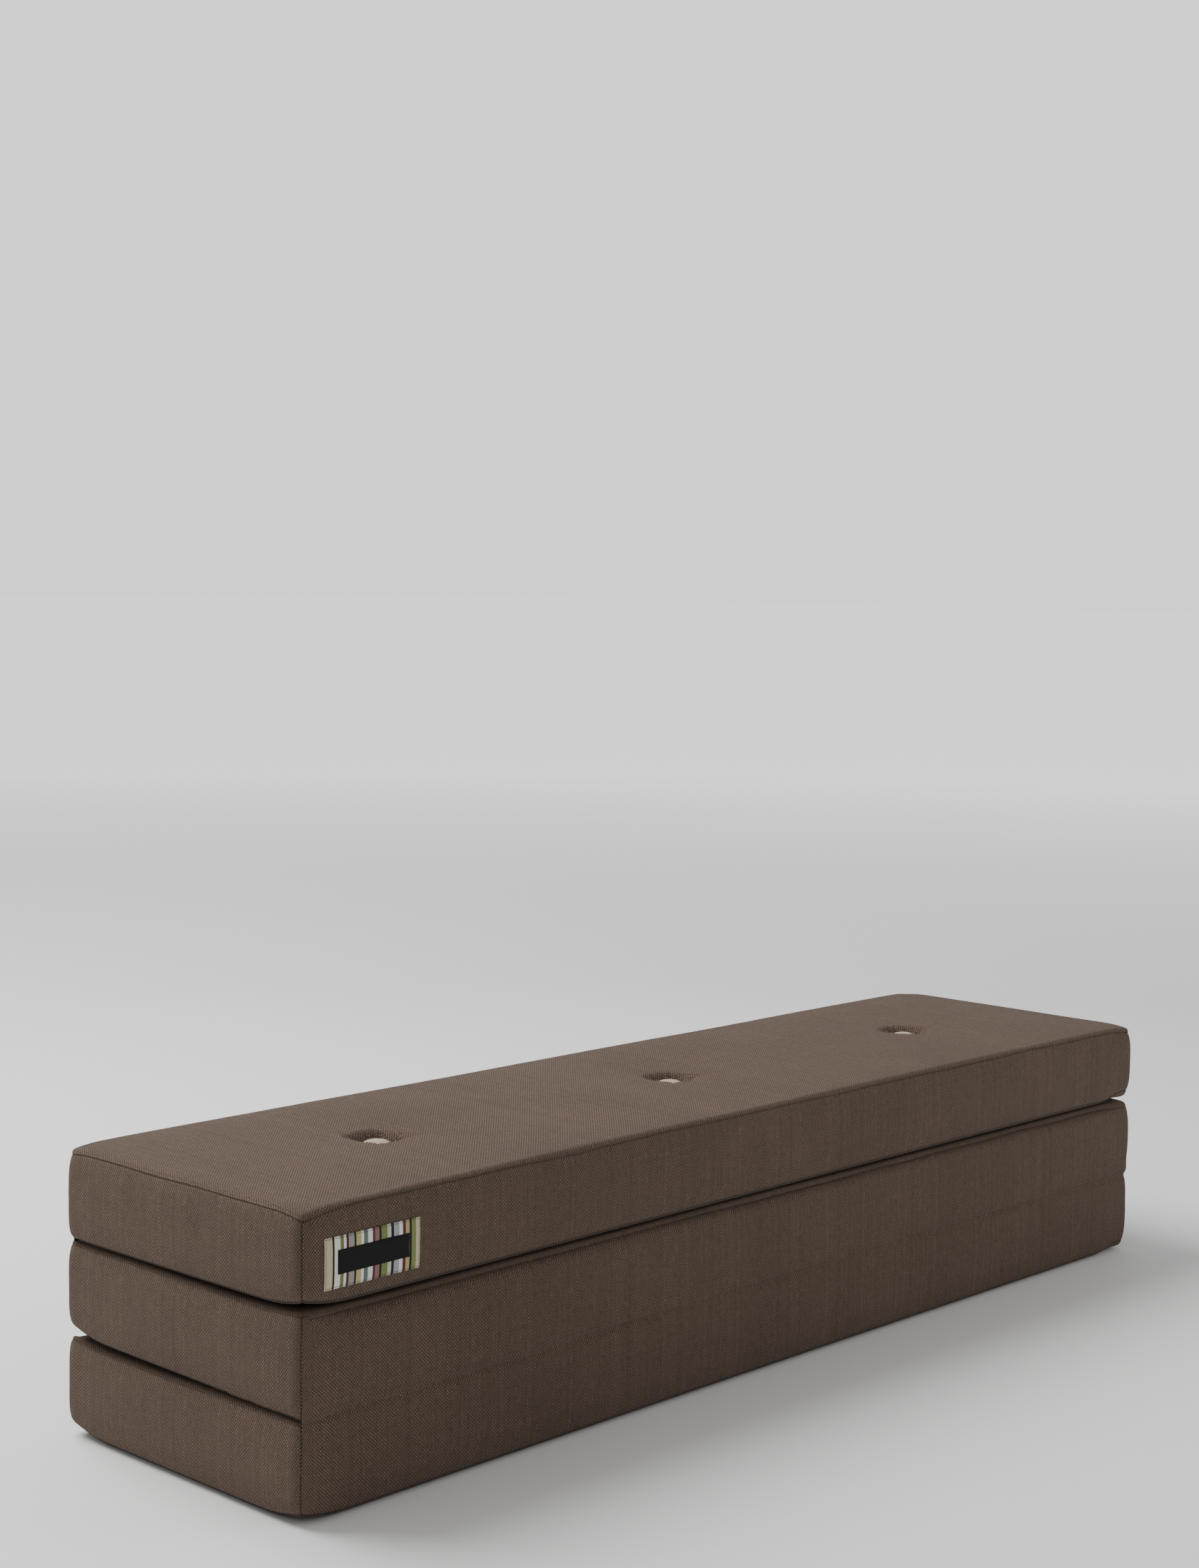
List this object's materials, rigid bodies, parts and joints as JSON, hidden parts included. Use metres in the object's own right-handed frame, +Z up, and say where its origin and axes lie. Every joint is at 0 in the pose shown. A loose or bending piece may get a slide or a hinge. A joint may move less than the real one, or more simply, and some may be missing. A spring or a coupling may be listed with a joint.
{
  "type": "folding mattress",
  "caption": "Folding mattress of foam pads in woven covers with tufted buttons, stacked as a bench and joined by cloth hinges so that it opens into a bed.",
  "frame": {"origin": "centre of the footprint on the floor, under the folded stack", "axes": "+X along the pads, +Z up; the front, with the hinge of the lower and middle pads, faces -Y"},
  "size_m": [1.4111, 0.3743, 0.3],
  "materials": {
    "sleeping_fabric": "brown melange weave",
    "border_fabric": "brown melange weave",
    "back_fabric": "brown melange weave",
    "hinge_fabric": "brown melange weave",
    "foam": "open-cell foam",
    "button_fabric": "sand canvas",
    "disc_plastic": "matt moulded",
    "twine": "waxed twine",
    "zip_tape": "twill tape with moulded teeth",
    "zip_metal": "bronze lacquer",
    "label_fabric": "striped woven"
  },
  "bodies": {
    "lower_pad": {"lower_foam_core": "foam", "lower_sleeping_panel": "sleeping_fabric", "lower_back_panel": "back_fabric", "lower_front_hinge_half": "hinge_fabric", "lower_rear_border": "border_fabric", "lower_left_border": "border_fabric", "lower_right_border": "border_fabric", "lower_button_left": "button_fabric", "lower_tie_disc_left": "disc_plastic", "lower_twine_left": "twine", "lower_button_centre": "button_fabric", "lower_tie_disc_centre": "disc_plastic", "lower_twine_centre": "twine", "lower_button_right": "button_fabric", "lower_tie_disc_right": "disc_plastic", "lower_twine_right": "twine", "lower_zip_tape": "zip_tape"},
    "lower_slider": {"lower_zip_slider": "zip_metal"},
    "lower_pull": {"lower_zip_pull": "zip_metal"},
    "middle_pad": {"middle_foam_core": "foam", "middle_sleeping_panel": "sleeping_fabric", "middle_back_panel": "back_fabric", "middle_front_hinge_half": "hinge_fabric", "middle_rear_hinge_half": "hinge_fabric", "middle_left_border": "border_fabric", "middle_right_border": "border_fabric", "middle_button_left": "button_fabric", "middle_tie_disc_left": "disc_plastic", "middle_twine_left": "twine", "middle_button_centre": "button_fabric", "middle_tie_disc_centre": "disc_plastic", "middle_twine_centre": "twine", "middle_button_right": "button_fabric", "middle_tie_disc_right": "disc_plastic", "middle_twine_right": "twine", "middle_zip_tape": "zip_tape"},
    "middle_slider": {"middle_zip_slider": "zip_metal"},
    "middle_pull": {"middle_zip_pull": "zip_metal"},
    "upper_pad": {"upper_foam_core": "foam", "upper_sleeping_panel": "sleeping_fabric", "upper_back_panel": "back_fabric", "upper_front_border": "border_fabric", "upper_rear_hinge_half": "hinge_fabric", "upper_left_border": "border_fabric", "upper_right_border": "border_fabric", "upper_button_left": "button_fabric", "upper_tie_disc_left": "disc_plastic", "upper_twine_left": "twine", "upper_button_centre": "button_fabric", "upper_tie_disc_centre": "disc_plastic", "upper_twine_centre": "twine", "upper_button_right": "button_fabric", "upper_tie_disc_right": "disc_plastic", "upper_twine_right": "twine", "upper_zip_tape": "zip_tape", "side_label": "label_fabric"},
    "upper_slider": {"upper_zip_slider": "zip_metal"},
    "upper_pull": {"upper_zip_pull": "zip_metal"}
  },
  "joints": [
    {"name": "front_hinge", "type": "hinge", "parent": "lower_pad", "child": "middle_pad", "pos_m": [0, -0.1875, 0.1], "axis": [1, 0, 0], "range_deg": [0, 180]},
    {"name": "rear_hinge", "type": "hinge", "parent": "middle_pad", "child": "upper_pad", "pos_m": [0, 0.1875, 0.2], "axis": [-1, 0, 0], "range_deg": [0, 180]},
    {"name": "lower_zip_slide", "type": "slide", "parent": "lower_pad", "child": "lower_slider", "axis": [0, 1, 0], "range_m": [0, 0.266]},
    {"name": "lower_pull_swing", "type": "hinge", "parent": "lower_slider", "child": "lower_pull", "pos_m": [0.7042, -0.1334, 0.0142], "axis": [0, 0, -1], "range_deg": [0, 180]},
    {"name": "middle_zip_slide", "type": "slide", "parent": "middle_pad", "child": "middle_slider", "axis": [0, 1, 0], "range_m": [0, 0.266]},
    {"name": "middle_pull_swing", "type": "hinge", "parent": "middle_slider", "child": "middle_pull", "pos_m": [0.7042, -0.1334, 0.1855], "axis": [0, 0, -1], "range_deg": [0, 180]},
    {"name": "upper_zip_slide", "type": "slide", "parent": "upper_pad", "child": "upper_slider", "axis": [0, 1, 0], "range_m": [0, 0.266]},
    {"name": "upper_pull_swing", "type": "hinge", "parent": "upper_slider", "child": "upper_pull", "pos_m": [0.7042, -0.1334, 0.2145], "axis": [0, 0, -1], "range_deg": [0, 180]}
  ]
}
